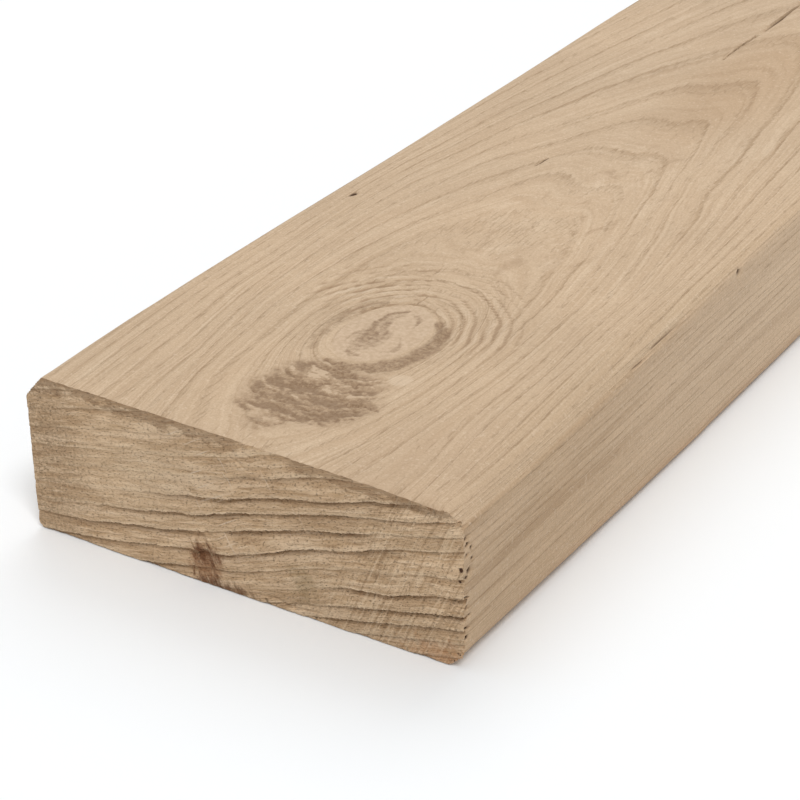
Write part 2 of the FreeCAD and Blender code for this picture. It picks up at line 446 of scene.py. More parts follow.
def knot_reach(across, along, centre, half):
    """1 on an ellipse about centre, less inside it and more outside."""
    return np.hypot((across - centre[0]) / half[0], (along - centre[1]) / half[1])


def knot_marks(across, along):
    """How dark the knot's drawn marks are at each place, from 0 to 1, with wandering and broken edges."""
    spot = np.column_stack([across, along, across * 0])
    bent_across = across + 1.5 * rough(spot, (7, 9, 1), 3, 131)
    bent_along = along + 2.0 * rough(spot, (7, 9, 1), 3, 133)
    dark = np.zeros(len(across))
    for half_width, strength, points in KNOT_MARKS:
        apart, where = from_line(points, bent_across, bent_along)
        width = half_width * np.clip(4 * where * (1 - where), 0.2, 1) ** 0.5
        dark = np.maximum(dark, strength * smooth_step(1.3, 0.5, apart / width))
    core = smooth_step(1.1, 0.3, knot_reach(bent_across, bent_along, (2.5, 101), (9, 24)))
    core = core * smooth_step(0.8, 1.3, knot_reach(bent_across, bent_along, (8.5, 111), (5, 7)))
    dark = np.maximum(dark, 0.75 * core)
    broken = rough(spot, (2.2, 3.2, 1), 3, 137)
    return dark * (0.65 + 0.35 * smooth_step(-0.35, 0.15, broken))


def off_knot(across, along):
    """Distance outwards from the knot's edge, negative inside it, and the way round it, both in mm."""
    reach = np.maximum(knot_reach(across, along, KNOT, KNOT_HALF), 0.05)
    away = np.hypot(across - KNOT[0], along - KNOT[1])
    turn = np.arctan2(along - KNOT[1], across - KNOT[0])
    return away * (1 - 1 / reach), turn


def burr_flecks(across, along):
    """The burr's reach and its torn flecks, which run round the knot in short curved ripples."""
    spot = np.column_stack([across, along, across * 0])
    apart, turn = off_knot(across, along)
    reach = knot_reach(across, along, BURR, BURR_HALF) + 0.26 * rough(spot, (15, 13, 1), 4, 141)
    patch = smooth_step(1.15, 0.72, reach) * smooth_step(-2.0, 0.5, apart)
    wavy = apart + 2.2 * rough(spot, (9, 9, 1), 3, 145)
    flecks = rough(np.column_stack([wavy / 1.9, turn * 4.2, apart * 0]), (1, 1, 1), 4, 151)
    flecks += 0.75 * rough(np.column_stack([across, along + 0.4 * across, apart * 0]), (3.2, 1.1, 1), 3, 155)
    return patch, flecks


def knot_ripples(across, along):
    """Ripples in rings behind the knot, from -1 in the furrows to 1 on the crests, dying out further off."""
    spot = np.column_stack([across, along, across * 0])
    apart, turn = off_knot(across, along)
    zone = smooth_step(0.5, 3, apart) * smooth_step(62, 20, apart)
    zone = zone * smooth_step(-0.35, 0.35, turn) * smooth_step(3.3, 2.3, turn)
    phase = (apart + 1.5 * rough(spot, (12, 12, 1), 3, 161)) / 4.8
    broken = 0.65 + 0.6 * rough(np.column_stack([phase * 0.7, turn * 2.5, turn * 0]), (1, 1, 1), 2, 165)
    crossed = rough(spot, (2.6, 5.0, 1), 3, 167) * smooth_step(1.2, 2.0, turn)
    return zone * (np.cos(phase * math.tau) * np.clip(broken, 0.1, 1.1) + 0.9 * crossed)


def long_relief(ring, across, along, up, on_top):
    """How deep the long faces lie under the sawn surface: planing, brushed rings, knot and burr."""
    spot = np.column_stack([across, along, up])
    depth = 0.25 + 0.20 * rough(spot, (45, 160, 45), 3, 11)
    phase = (ring + 0.06 * rough(spot, (20, 90, 20), 2, 21)) % 1.0
    groove = np.exp(-((np.minimum(phase, 1 - phase) / 0.14) ** 2))
    strength = 0.5 + 0.5 * rough(np.column_stack([ring * 0.9, along / 60, up / 30]), (1, 1, 1), 2, 31)
    depth += 0.16 * groove * np.clip(strength, 0.0, 1)
    depth += 0.07 * rough(np.column_stack([ring * 2.7, along / 30, up / 9]), (1, 1, 1), 3, 41)

    heart = smooth_step(1.03, 0.95, knot_reach(across, along, KNOT, KNOT_HALF))
    knotted = heart * (-0.12 + 0.18 * np.abs(rough(spot, (9, 14, 9), 3, 51)))
    knotted += 0.35 * knot_marks(across, along) - 0.60 * knot_ripples(across, along)
    patch, flecks = burr_flecks(across, along)
    knotted += patch * (0.20 - 0.65 * flecks)
    return np.maximum(depth + knotted * on_top, 0)


def end_steps(across, up):
    """The ring number on the front end, a little uneven, and how far the step above each place stands out."""
    step = ring_field(END_RINGS, np.column_stack([across, up]), 2.5)
    face = np.column_stack([across, up, up * 0])
    step = step + 0.07 * rough(face, (30, 12, 1), 4, 71) + 0.05 * rough(face, (4.5, 3.5, 1), 3, 73)
    above = np.floor(step) + 1
    stands = np.full(len(step), 0.3)
    for number, points in END_STANDS.items():
        at, share = np.array(points, float).T
        here = above == number
        stands[here] = np.interp(across[here], at, share)
    return step, stands


def step_relief(step, stands, across, up):
    """How deep the front end is torn back: each step leans in under the lip of the one above."""
    face = np.column_stack([across, up, up * 0])
    share = step - np.floor(step)
    tooth = 0.15 * share + 0.85 * share**2.6
    tooth = tooth * smooth_step(1.0, 0.95, share)
    jagged = 1 + 0.35 * rough(face, (7, 30, 1), 3, 77)
    under = TOP - front_drop(across) - up
    edge = smooth_step(0.5, 5, under)
    depth = 0.15 + (0.15 + 0.85 * edge) * (2.6 * tooth * stands * jagged + 0.2)
    fibres = rough(np.column_stack([step * 2.6, across / 9, up / 60]), (1, 1, 1), 4, 91)
    pitted = rough(face, (2.2, 1.5, 1), 3, 95)
    loose = smooth_step(-40, -80, across) + 0.5
    depth += (0.18 * fibres + 0.20 * pitted * loose) * (0.4 + 0.6 * edge)
    depth += 0.55 * rough(face, (40, 22, 1), 3, 99) * edge
    splinters = rough(face, (1.6, 9, 1), 3, 103) + 1.3 * rough(face, (11, 9, 1), 3, 105)
    splinters = splinters * smooth_step(6, 1, under)
    return np.maximum(depth + 0.45 * splinters, 0)


def sawn_relief(step, across, up):
    """How deep the rear end lies: saw tracks in shallow arcs, and a few rings torn out."""
    track = np.hypot(across + 190, up - 150)
    depth = 0.35 + 0.12 * np.cos(track * math.tau / 3.4) + 0.2 * rough(
        np.column_stack([across, up, up * 0]), (30, 18, 1), 3, 105
    )
    share = (step * 1.0) % 1.0
    depth += 0.45 * share**2 * smooth_step(1, 0.92, share) * smooth_step(
        -0.1, 0.6, value_noise(np.column_stack([across / 45, np.floor(step) * 1.3, up * 0]), 111)
    )
    return np.maximum(depth, 0)


def carve(mesh):
    """Gives the block its surface, and writes what the finish needs to know about each place."""
    box_places = positions(mesh)
    box_up = box_places[:, 2].copy()
    front_end = box_places[:, 1] < LOW[1] + 1e-3
    rear_end = box_places[:, 1] > HIGH[1] - 1e-3
    put_back(mesh, fit_to_solid(wear_front(box_places.copy())))
    soften_arrises(mesh, 1)
    places = positions(mesh)
    outward = normals(mesh)
    across, up = places[:, 0], places[:, 2]
    along = places[:, 1] - LOW[1]
    on_top = smooth_step(0.55, 0.85, outward[:, 2])

    # Ring numbers go on down the sides, and the knot's bend in them dies out below the top face.
    depth_below = np.maximum(TOP - box_up, 0)
    drawn = ring_field(TOP_RINGS, np.column_stack([across, along]), 0.35)
    plain = np.hypot((across - 12) / 6.2, 4 + along / 210)
    under = smooth_step(4, 40, depth_below)
    ring = drawn * (1 - under) + plain * under + depth_below / 3.4
    step, stands = end_steps(across, up)

    depth = long_relief(ring, across, along, up, on_top)
    # How much painted shade the finish puts into each check, pit and tear, growing with its depth.
    painted_hollow_shade = np.zeros(len(places))
    for width, deep, points in TOP_CHECKS:
        apart, where = from_line(points, across, along)
        taper = np.clip(4 * where * (1 - where), 0.12, 1) ** 0.5
        opened = smooth_step(1, 0.25, apart / (width * taper)) * on_top
        painted_hollow_shade = np.maximum(painted_hollow_shade, opened * min(deep / 1.3, 1))
        depth += opened * deep * taper
    spot = np.column_stack([across, along, up])
    for *place, reach, deep in PITS:
        ragged = reach * (1 + 0.35 * value_noise(spot / 1.3, 121))
        apart = (spot - np.array(place)) * (1, 0.8, 1)
        opened = smooth_step(1, 0.3, np.linalg.norm(apart, axis=1) / ragged)
        painted_hollow_shade = np.maximum(painted_hollow_shade, opened)
        depth += opened * deep
    chipped = rough(spot, (2.6, 4.0, 2.6), 3, 129) + rough(spot, (12, 9, 9), 2, 130)
    chipped *= 0.35 + 0.65 * smooth_step(-HALF_WIDTH, -HALF_WIDTH + 12, across)
    depth += np.clip(chipped, 0, 1) * 1.2 * smooth_step(6, 0, along) + CLEARANCE
    long_face = ~(front_end | rear_end)
    level = outward.copy()
    level[:, 1] *= 0.2
    level /= np.linalg.norm(level, axis=1)[:, None]
    rim = (front_end | rear_end) & (np.hypot(outward[:, 0], outward[:, 2]) > 0.3)
    level[rim, 1] = 0
    level[rim] /= np.linalg.norm(level[rim], axis=1)[:, None]
    sink = np.where(long_face | rim, depth, 0)
    places -= level * sink[:, None]

    # The ends are torn and sawn back, and the long faces give way for the last few millimetres.
    torn = step_relief(step, stands, across, up) + CLEARANCE
    for width, deep, points in END_TEARS:
        apart, where = from_line(points, across + 1.6 * value_noise(spot / 3.1, 125), up)
        taper = np.clip(4 * where * (1 - where), 0.12, 1) ** 0.5
        opened = smooth_step(1, 0.2, apart / (width * taper)) * front_end
        patchy = smooth_step(-0.5, 0.5, rough(spot, (6, 6, 6), 2, 127))
        painted_hollow_shade = np.maximum(painted_hollow_shade, opened * deep * 0.26 * patchy)
        torn += opened * deep * taper
    sawn = sawn_relief(step, across, up) + CLEARANCE
    places[:, 1] += torn * np.clip(1 - along / 14, 0, 1)
    places[:, 1] -= sawn * np.clip(1 - (LENGTH - along) / 14, 0, 1)
    put_back(mesh, places)

    write(mesh, "grain", np.column_stack([ring, along * MM, (across + depth_below) * MM]))
    write(mesh, "end_grain", np.column_stack([step, across * MM, up * MM]))
    write(mesh, "stands", stands)
    write(mesh, "under_edge", (TOP - front_drop(across) - up) * MM)
    write(mesh, "painted_hollow_shade", painted_hollow_shade)
    knot = knot_reach(across, along, KNOT, KNOT_HALF)
    patch, flecks = burr_flecks(across, along)
    clear = smooth_step(1.15, 0.5, knot_reach(across, along, (32, 70), (6.5, 6)))
    write(mesh, "heart", smooth_step(1.03, 0.96, knot) * on_top)
    write(mesh, "knot_mark", knot_marks(across, along) * on_top)
    write(mesh, "burr", patch * (0.45 - 1.35 * flecks) * (1 - clear) * on_top)
    write(mesh, "burr_patch", patch * (1 - clear) * on_top)
    write(mesh, "ripple", (knot_ripples(across, along) + 0.8 * clear) * on_top)


def write(mesh, name, values):
    """Stores one number, or three, at each vertex."""
    several = values.ndim > 1
    kind = "FLOAT_VECTOR" if several else "FLOAT"
    layer = mesh.attributes.new(name, kind, "POINT")
    layer.data.foreach_set("vector" if several else "value", values.astype(np.float32).ravel())


def worn_beam(long_finish, end_finish):
    """The beam as one closed mesh, with long grain on its faces and end grain on its two ends."""
    block = graded_block()
    mesh = bpy.data.meshes.new("worn_beam")
    for face in block.faces:
        middle = face.calc_center_median()
        face.material_index = int(min(middle.y - LOW[1], HIGH[1] - middle.y) < 1e-3)
        face.smooth = True
    block.to_mesh(mesh)
    block.free()
    carve(mesh)
    mesh.transform(Matrix.Scale(MM, 4))
    mesh.set_sharp_from_angle(angle=math.radians(48))
    mesh.materials.append(long_finish)
    mesh.materials.append(end_finish)
    return piece("worn_beam", mesh)


def piece(name, mesh):
    """Puts a finished mesh in the scene as an object."""
    obj = bpy.data.objects.new(name, mesh)
    bpy.context.scene.collection.objects.link(obj)
    return obj


# ---------------------------------------------------------------------------------- finish nodes


class Bench:
    """Short ways to place and join shader nodes in one tree. Any input may be a socket or a number."""

    def __init__(self, tree):
        self.tree = tree

    def place(self, kind, inputs=(), **settings):
        made = self.tree.nodes.new(kind)
        for name, value in settings.items():
            setattr(made, name, value)
        for name, value in dict(inputs).items():
            self.feed(made.inputs[name], value)
        return made

    def feed(self, socket, value):
        if isinstance(value, bpy.types.NodeSocket):
            self.tree.links.new(value, socket)
        else:
            socket.default_value = value

    def math(self, operation, *values, clamp=False):
        made = self.place("ShaderNodeMath", enumerate(values), operation=operation, use_clamp=clamp)
        return made.outputs[0]

    def add(self, a, b):
        return self.math("ADD", a, b)

    def times(self, a, b):
        return self.math("MULTIPLY", a, b)

    def join(self, x, y, z):
        return self.place("ShaderNodeCombineXYZ", {"X": x, "Y": y, "Z": z}).outputs[0]

    def split(self, vector):
        return self.place("ShaderNodeSeparateXYZ", {"Vector": vector}).outputs

    def noise(self, vector, scale=1.0, detail=3.0, rough=0.55, distort=0.0):
        inputs = {"Vector": vector, "Scale": scale, "Detail": detail, "Roughness": rough}
        return self.place("ShaderNodeTexNoise", {**inputs, "Distortion": distort}).outputs["Fac"]

    def streaks(self, first, second, third, detail, rough):
        """Noise over three coordinates, each (value, times over) or left as it is."""
        parts = (self.times(*part) if isinstance(part, tuple) else part for part in (first, second, third))
        return self.noise(self.join(*parts), 1, detail, rough)

    def read(self, name, kind="Fac"):
        """An attribute that the mesh carries."""
        return self.place("ShaderNodeAttribute", attribute_name=name).outputs[kind]

    def mellowed(self, group, place, colour, strength):
        """The colour with its broad changes of tone."""
        inputs = {"Place": place, "Colour": colour, "Strength": strength}
        return self.place("ShaderNodeGroup", inputs, node_tree=group).outputs["Colour"]

    def ease(self, value, low, high, start=0.0, stop=1.0):
        """start below low, stop above high, and an easy curve between."""
        inputs = {"Value": value, "From Min": low, "From Max": high, "To Min": start, "To Max": stop}
        made = self.place("ShaderNodeMapRange", inputs, interpolation_type="SMOOTHSTEP", clamp=True)
        return made.outputs["Result"]

    def mix(self, share, a, b, blend="MIX"):
        made = self.place("ShaderNodeMix", data_type="RGBA", blend_type=blend, clamp_factor=True)
        self.feed(made.inputs[0], share)
        self.feed(made.inputs[6], a)
        self.feed(made.inputs[7], b)
        return made.outputs[2]

    def patch(self, vector, centre, half):
        """Distance from a patch's middle, 1 at its edge. centre and half are in millimetres."""
        scale = [1 / (size * MM) for size in half]
        moved = [-place * MM * factor for place, factor in zip(centre, scale)]
        inputs = {"Vector": vector, "Location": moved, "Scale": scale}
        spread = self.place("ShaderNodeMapping", inputs).outputs[0]
        return self.place("ShaderNodeVectorMath", {0: spread}, operation="LENGTH").outputs["Value"]


def srgb(red, green, blue):
    """A colour as a painter's chart gives it, 0 to 255, turned linear for the shader."""
    def linear(level):
        level = level / 255
        return level / 12.92 if level <= 0.04045 else ((level + 0.055) / 1.055) ** 2.4

    return (linear(red), linear(green), linear(blue), 1)


def group(name, inputs, outputs):
    """An empty node group with these sockets, and a bench to fill it on."""
    tree = bpy.data.node_groups.new(name, "ShaderNodeTree")
    kinds = {"colour": "NodeSocketColor", "value": "NodeSocketFloat", "vector": "NodeSocketVector"}
    for title, kind in inputs:
        tree.interface.new_socket(title, in_out="INPUT", socket_type=kinds[kind])
    for title, kind in outputs:
        tree.interface.new_socket(title, in_out="OUTPUT", socket_type=kinds[kind])
    start = tree.nodes.new("NodeGroupInput")
    stop = tree.nodes.new("NodeGroupOutput")
    return tree, Bench(tree), start.outputs, stop.inputs


def mellowing():
    """Group: broad, slow changes of tone, the same for long and end grain."""
    tree, on, given, out = group(
        "mellowing",
        [("Place", "vector"), ("Colour", "colour"), ("Strength", "value")],
        [("Colour", "colour")],
    )
    broad = on.noise(given["Place"], 9, 3, 0.5)
    patches = on.noise(given["Place"], 38, 3, 0.6)
    tone = on.add(on.times(on.add(broad, -0.5), 0.9), on.times(on.add(patches, -0.5), 0.35))
    level = on.add(on.times(tone, given["Strength"]), 1)
    toned = on.place("ShaderNodeVectorMath", {0: given["Colour"]}, operation="SCALE")
    on.feed(toned.inputs["Scale"], level)
    on.feed(out["Colour"], toned.outputs[0])
    return tree


def open_grain():
    """Group: the lines, streaks and open pores of oak, laid out by ring number."""
    tree, on, given, out = group(
        "open_grain",
        [("Ring", "value"), ("Along", "value"), ("Across", "value")],
        [("Line", "value"), ("Streak", "value"), ("Pore", "value")],
    )
    ring, along, across = given["Ring"], given["Along"], given["Across"]
    waver = on.streaks((along, 12), (across, 45), 0.0, 3, 0.5)
    feather = on.streaks((along, 42), (across, 520), 3.0, 3, 0.6)
    moved = on.add(on.times(on.add(waver, -0.5), 0.16), on.times(on.add(feather, -0.5), 0.26))
    ring_at = on.add(ring, moved)

    def lines(times_over, offset, width, seed, faint, strong):
        """Fine dark lines, that many to a ring, each sharp on one side and easing off on the other."""
        phase = on.math("FRACT", on.add(on.times(ring_at, times_over), offset))
        rise = on.math("POWER", on.ease(phase, 1 - 4 * width, 1 - 0.4 * width), 2.0)
        edge = on.ease(phase, 0.0, width * 0.6, 1.0, 0.0)
        shape = on.math("MAXIMUM", on.times(rise, on.ease(phase, 1 - 0.4 * width, 1.0, 1.0, 0.9)), edge)
        vary = on.noise(on.join(on.times(ring_at, times_over * 0.8), on.times(along, 7), seed), 1, 2, 0.6)
        return on.times(shape, on.ease(vary, 0.34, 0.66, faint, strong))

    line = on.add(lines(1, 0.0, 0.06, 3.1, 0.12, 1.0), lines(2, 0.37, 0.07, 7.7, 0.0, 0.55))
    line = on.math("MINIMUM", on.add(line, lines(4.3, 0.11, 0.10, 12.3, 0.0, 0.34)), 1.0)
    streak = on.streaks((ring_at, 8), (along, 13), (across, 25), 5, 0.6)
    pores = on.streaks((along, 105), (across, 1050), 6.0, 3, 0.6)
    phase = on.math("FRACT", ring_at)
    crowd = on.math("MAXIMUM", on.ease(phase, 0.55, 0.98), on.ease(phase, 0.0, 0.12, 1.0, 0.0))
    pore = on.ease(on.math("SUBTRACT", pores, on.add(0.655, on.times(crowd, -0.11))), 0.0, 0.05)
    on.feed(out["Line"], line)
    on.feed(out["Streak"], streak)
    on.feed(out["Pore"], pore)
    return tree


def long_grain_finish(mellow, grain_group):
    """Pale aged oak, for the beam's four long faces, with the knot and the burr in front of it."""
    material = bpy.data.materials.new("aged_oak_long_grain")
    material.use_nodes = True
    tree = material.node_tree
    on = Bench(tree)
    shader = tree.nodes["Principled BSDF"]
    place = on.place("ShaderNodeTexCoord").outputs["Object"]
    ring, along, across = on.split(on.read("grain", "Vector"))
    painted_hollow_shade = on.read("painted_hollow_shade")
    grain = on.place("ShaderNodeGroup", node_tree=grain_group)
    for name, value in (("Ring", ring), ("Along", along), ("Across", across)):
        on.feed(grain.inputs[name], value)
    line, streak, pore = (grain.outputs[name] for name in ("Line", "Streak", "Pore"))

    heart, mark, burr, patch, ripple = (
        on.read(name)
        for name in ("heart", "knot_mark", "burr", "burr_patch", "ripple")
    )
    plain = on.times(on.math("SUBTRACT", 1.0, heart), on.math("SUBTRACT", 1.0, on.times(patch, 0.85)))
    line = on.times(line, plain)
    pore = on.times(pore, on.times(plain, on.ease(on.split(place)[2], 0.012, 0.046, 0.3, 1.0)))
    dust = on.noise(place, 1300, 2, 0.6)
    grit = on.noise(place, 520, 5, 0.7)
    mottle = on.streaks((ring, 1.3), (along, 16), (across, 20), 4, 0.6)
    colour = on.mix(on.ease(streak, 0.28, 0.72), srgb(194, 167, 136), srgb(208, 183, 153))
    wide = on.ease(on.patch(place, (15, LOW[1] + 430, TOP), (36, 120, 30)), 0.3, 1.1, 0.55, 0.0)
    height = on.split(place)[2]
    out = on.math("ABSOLUTE", on.split(place)[0])
    sides = on.ease(out, (HALF_WIDTH - 1.6) * MM, (HALF_WIDTH - 0.9) * MM, 0.0, 0.12)
    below = on.times(on.ease(height, 0.036, 0.058, 0.0, 0.34), on.ease(along, 0.03, 0.11))
    below = on.times(below, on.ease(streak, 0.34, 0.62, 1.0, 0.35))
    sides = on.math("MAXIMUM", sides, on.times(below, on.ease(sides, 0.0, 0.1)))
    long_streak = on.streaks((along, 5.5), (height, 130), (out, 20), 4, 0.6)
    side_on = on.ease(out, 0.0975, 0.0988)
    under_arris = on.times(on.ease(height, 0.053, 0.060, 0.0, 0.38), on.ease(streak, 0.3, 0.6, 1.0, 0.5))
    far_up = on.ease(along, 0.06, 0.22)
    # Painted shade on the front right of the top face, where the top falls towards the front edge.
    painted_shade_front_right = on.ease(on.patch(place, (72, LOW[1] + 10, TOP), (42, 70, 60)), 0.3, 1.1, 0.30, 0.0)
    foot = on.times(on.ease(height, 0.001, 0.011, 0.5, 0.0), on.ease(streak, 0.3, 0.6, 0.2, 1.0))
    inner = on.ease(on.patch(place, (14, LOW[1] + 255, TOP), (50, 125, 30)), 0.3, 1.1, 1.0, 0.0)
    wavy = on.noise(on.join(on.times(across, 95), on.times(along, 42), 0.0), 1, 5, 0.7, 0.6)
    line = on.times(line, on.ease(inner, 0.0, 1.0, 1.0, 0.62))

    # The knot: a pale heart with curled dark marks, a dark rim, ripples with painted shade in their furrows
    # and a painted highlight on their crests, and the torn burr in front of it.
    heart_colour = on.mix(on.ease(grit, 0.35, 0.65), srgb(188, 162, 133), srgb(205, 180, 152))
    painted_furrow_shade = on.ease(ripple, -0.05, -0.70)
    ragged = on.times(on.add(on.noise(place, 420, 5, 0.75), -0.5), 1.7)
    torn_wood = on.mix(on.ease(grit, 0.32, 0.66), srgb(142, 114, 85), srgb(182, 155, 126))
    mark_colour = on.mix(on.ease(grit, 0.36, 0.62), srgb(128, 101, 74), srgb(166, 139, 110))

    washes = (
        (on.ease(mottle, 0.56, 0.74, 0.0, 0.55), srgb(190, 163, 133)),
        (on.ease(mottle, 0.44, 0.28, 0.0, 0.45), srgb(220, 197, 168)),
        (on.math("MAXIMUM", wide, sides), srgb(182, 151, 117)),
        (on.times(on.ease(long_streak, 0.52, 0.64, 0.0, 0.48), side_on), srgb(152, 122, 90)),
        (on.times(on.ease(long_streak, 0.47, 0.36, 0.0, 0.45), side_on), srgb(218, 190, 158)),
        (on.times(on.ease(along, 0.25, 0.05, 0.0, 0.22), side_on), srgb(196, 160, 120)),
        (on.times(under_arris, side_on), srgb(160, 129, 96)),
        (on.times(on.times(side_on, far_up), 0.42), srgb(226, 199, 168)),
        # Painted shade on the front right of the top face.
        (painted_shade_front_right, srgb(182, 155, 127)),
        (foot, srgb(198, 148, 98)),
        (on.times(on.ease(wavy, 0.54, 0.70), on.times(inner, 0.58)), srgb(224, 201, 173)),
        (on.times(on.ease(wavy, 0.46, 0.32), on.times(inner, 0.72)), srgb(168, 140, 110)),
        (on.times(line, 0.40), srgb(152, 123, 92)),
        (on.times(pore, 0.27), srgb(144, 115, 84)),
        (on.ease(dust, 0.35, 0.60, 0.22, 0.0), srgb(150, 121, 92)),
        (on.times(on.ease(grit, 0.56, 0.66), 0.36), srgb(224, 202, 175)),
        (on.times(heart, 0.9), heart_colour),
        # Painted shade in the ripples' furrows, then a painted highlight on their crests.
        (on.times(painted_furrow_shade, 0.80), srgb(158, 130, 101)),
        (on.times(on.ease(ripple, 0.25, 0.95), 0.45), srgb(223, 201, 174)),
        (on.times(patch, 0.80), torn_wood),
        (on.ease(on.add(burr, ragged), 0.30, 1.0, 0.0, 0.55), srgb(116, 89, 62)),
        (on.times(on.ease(burr, 0.12, -0.25), on.times(patch, 0.75)), srgb(205, 180, 151)),
        (on.ease(on.add(mark, on.times(ragged, 0.5)), 0.06, 0.85, 0.0, 0.88), mark_colour),
        # Painted shade in the checks and pits.
        (on.ease(painted_hollow_shade, 0.25, 0.8), srgb(78, 55, 36)),
    )
    for share, wash in washes:
        colour = on.mix(share, colour, wash)
    on.feed(shader.inputs["Base Color"], on.mellowed(mellow, place, colour, 0.26))
    on.feed(shader.inputs["Roughness"], on.add(0.66, on.times(on.add(line, pore), 0.10)))
    shader.inputs["Specular IOR Level"].default_value = 0.30
    lift = on.add(on.times(streak, 0.45), on.add(on.times(line, -0.6), on.times(pore, -0.6)))
    lift = on.add(lift, on.times(on.times(wavy, inner), 1.6))
    gritty = on.times(grit, on.math("MAXIMUM", patch, mark))
    lift = on.add(lift, on.add(on.times(gritty, 1.4), on.times(dust, 0.12)))
    bump = on.place("ShaderNodeBump", {"Strength": 0.55, "Distance": 0.0005, "Height": lift})
    on.feed(shader.inputs["Normal"], bump.outputs[0])
    return material


